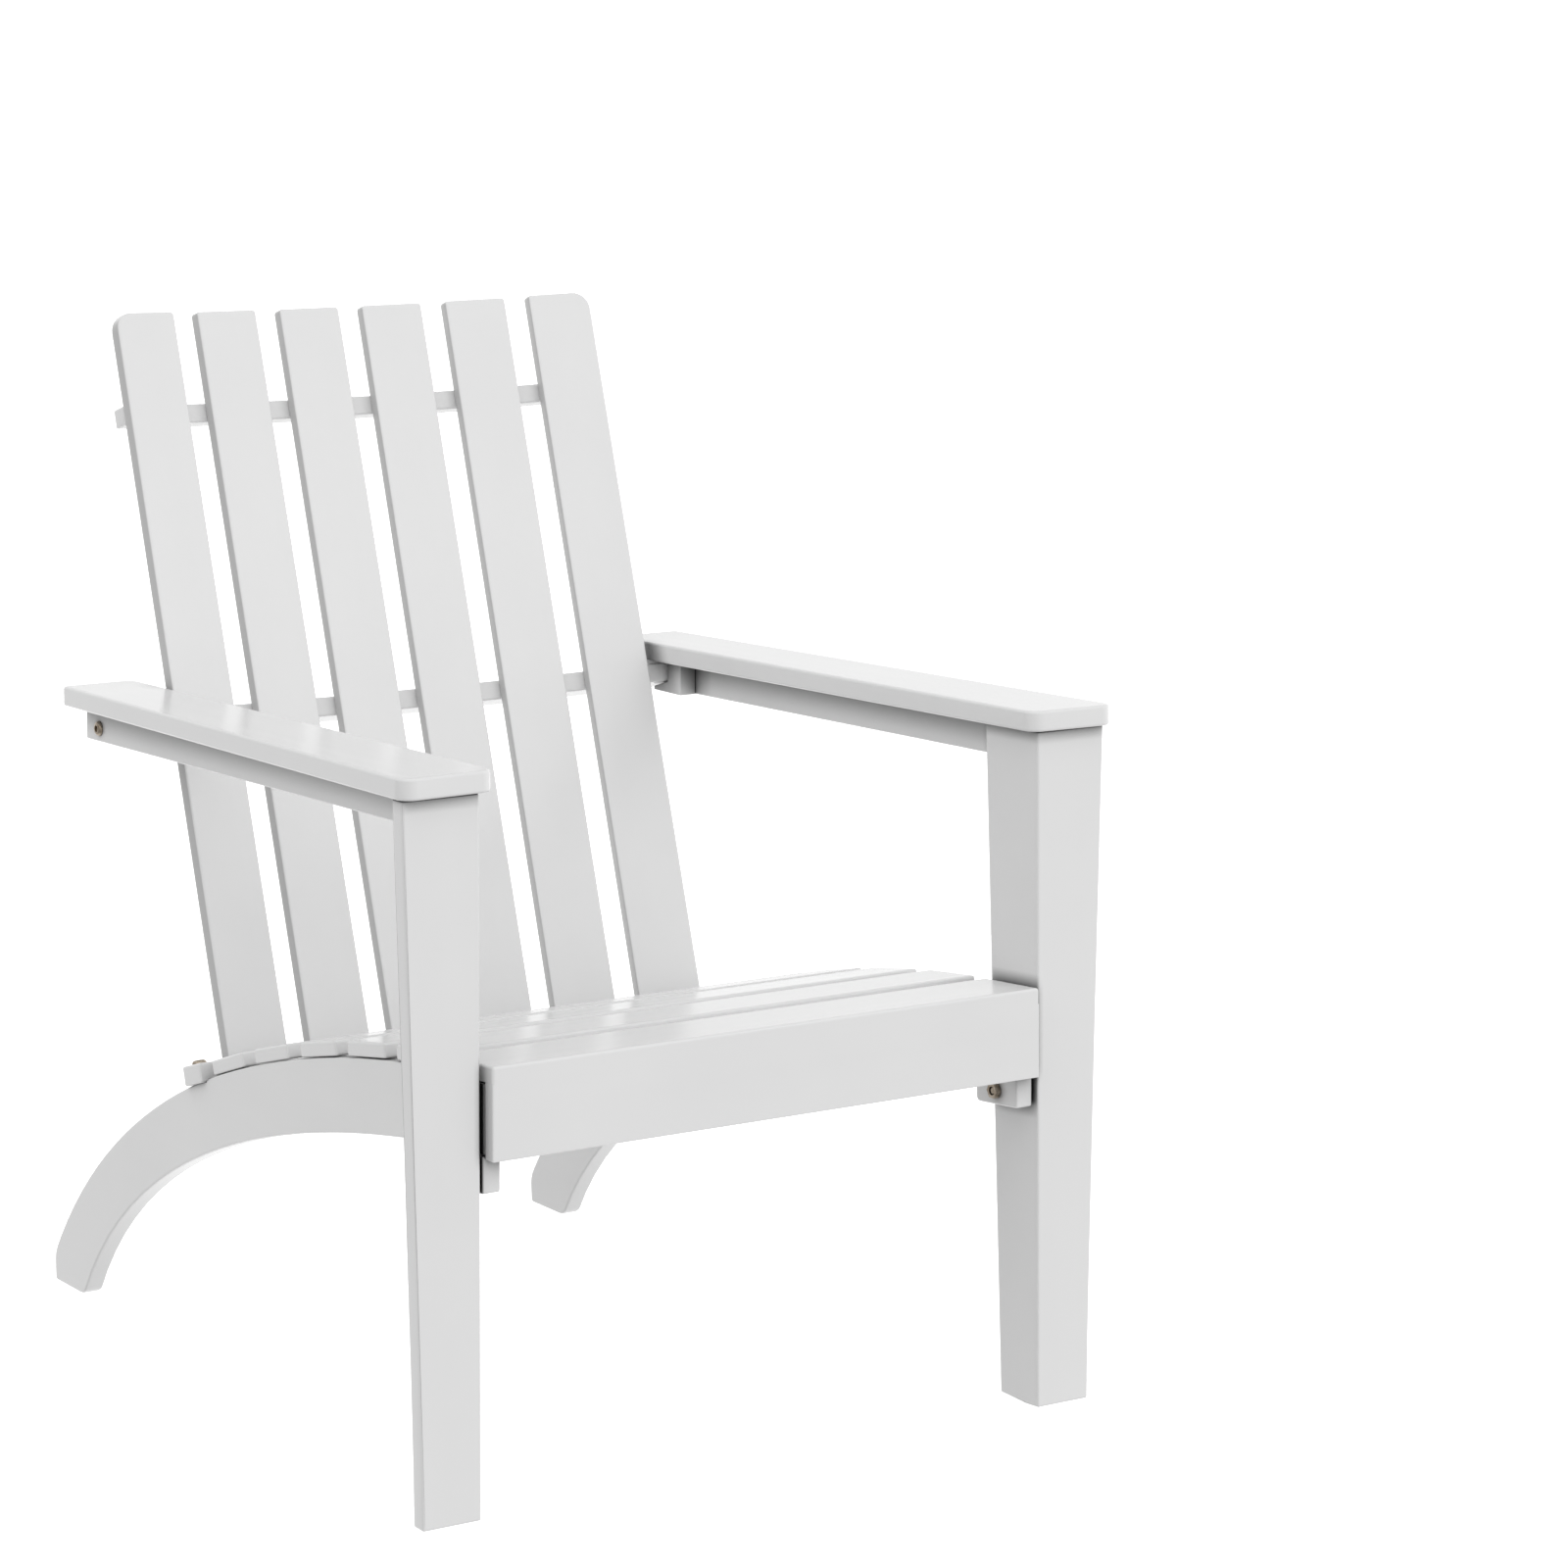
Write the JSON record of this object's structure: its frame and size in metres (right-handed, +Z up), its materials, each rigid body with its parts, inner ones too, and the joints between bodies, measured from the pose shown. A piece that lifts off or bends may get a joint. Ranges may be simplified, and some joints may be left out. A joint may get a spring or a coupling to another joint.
{
  "type": "adirondack chair",
  "caption": "White slatted wooden garden lounge chair with a reclined curved back, a low seat on arched rear rails, and wide flat armrests on L-section front legs.",
  "frame": {"origin": "centre of the footprint on the floor: the bottom centre of the chair's bounding box", "axes": "+Z up, -Y the way the sitter faces, +X to the right of someone looking at the chair's front; the chair mirrors about the YZ plane"},
  "size_m": [0.676, 0.7628, 0.8767],
  "materials": {
    "white_painted_wood": "satin white paint over smooth planed boards with eased edges",
    "dark_zinc_steel": "dull zinc-plated steel, slightly bronze"
  },
  "bodies": {
    "root": {"front_leg_board_L": "white_painted_wood", "side_leg_board_L": "white_painted_wood", "armrest_L": "white_painted_wood", "arm_rail_L": "white_painted_wood", "arm_cleat_L": "white_painted_wood", "seat_rail_L": "white_painted_wood", "rail_block_L": "white_painted_wood", "front_leg_board_R": "white_painted_wood", "side_leg_board_R": "white_painted_wood", "armrest_R": "white_painted_wood", "arm_rail_R": "white_painted_wood", "arm_cleat_R": "white_painted_wood", "seat_rail_R": "white_painted_wood", "rail_block_R": "white_painted_wood", "apron": "white_painted_wood", "seat_slat_1": "white_painted_wood", "seat_slat_2": "white_painted_wood", "seat_slat_3": "white_painted_wood", "seat_slat_4": "white_painted_wood", "seat_slat_5": "white_painted_wood", "seat_slat_6": "white_painted_wood", "back_slat_1": "white_painted_wood", "back_slat_2": "white_painted_wood", "back_slat_3": "white_painted_wood", "back_slat_4": "white_painted_wood", "back_slat_5": "white_painted_wood", "back_slat_6": "white_painted_wood", "back_brace_top": "white_painted_wood", "back_brace_middle": "white_painted_wood", "back_brace_bottom": "white_painted_wood", "bolt_leg_upper_L": "dark_zinc_steel", "bolt_leg_middle_L": "dark_zinc_steel", "bolt_leg_lower_L": "dark_zinc_steel", "bolt_arm_front_L": "dark_zinc_steel", "bolt_arm_second_L": "dark_zinc_steel", "bolt_arm_rear_L": "dark_zinc_steel", "bolt_brace_L": "dark_zinc_steel", "nut_leg_upper_L": "dark_zinc_steel", "nut_leg_middle_L": "dark_zinc_steel", "nut_leg_lower_L": "dark_zinc_steel", "spacer_leg_upper_L": "dark_zinc_steel", "spacer_leg_middle_L": "dark_zinc_steel", "spacer_leg_lower_L": "dark_zinc_steel", "bolt_leg_upper_R": "dark_zinc_steel", "bolt_leg_middle_R": "dark_zinc_steel", "bolt_leg_lower_R": "dark_zinc_steel", "bolt_arm_front_R": "dark_zinc_steel", "bolt_arm_second_R": "dark_zinc_steel", "bolt_arm_rear_R": "dark_zinc_steel", "bolt_brace_R": "dark_zinc_steel", "nut_leg_upper_R": "dark_zinc_steel", "nut_leg_middle_R": "dark_zinc_steel", "nut_leg_lower_R": "dark_zinc_steel", "spacer_leg_upper_R": "dark_zinc_steel", "spacer_leg_middle_R": "dark_zinc_steel", "spacer_leg_lower_R": "dark_zinc_steel"}
  },
  "joints": []
}
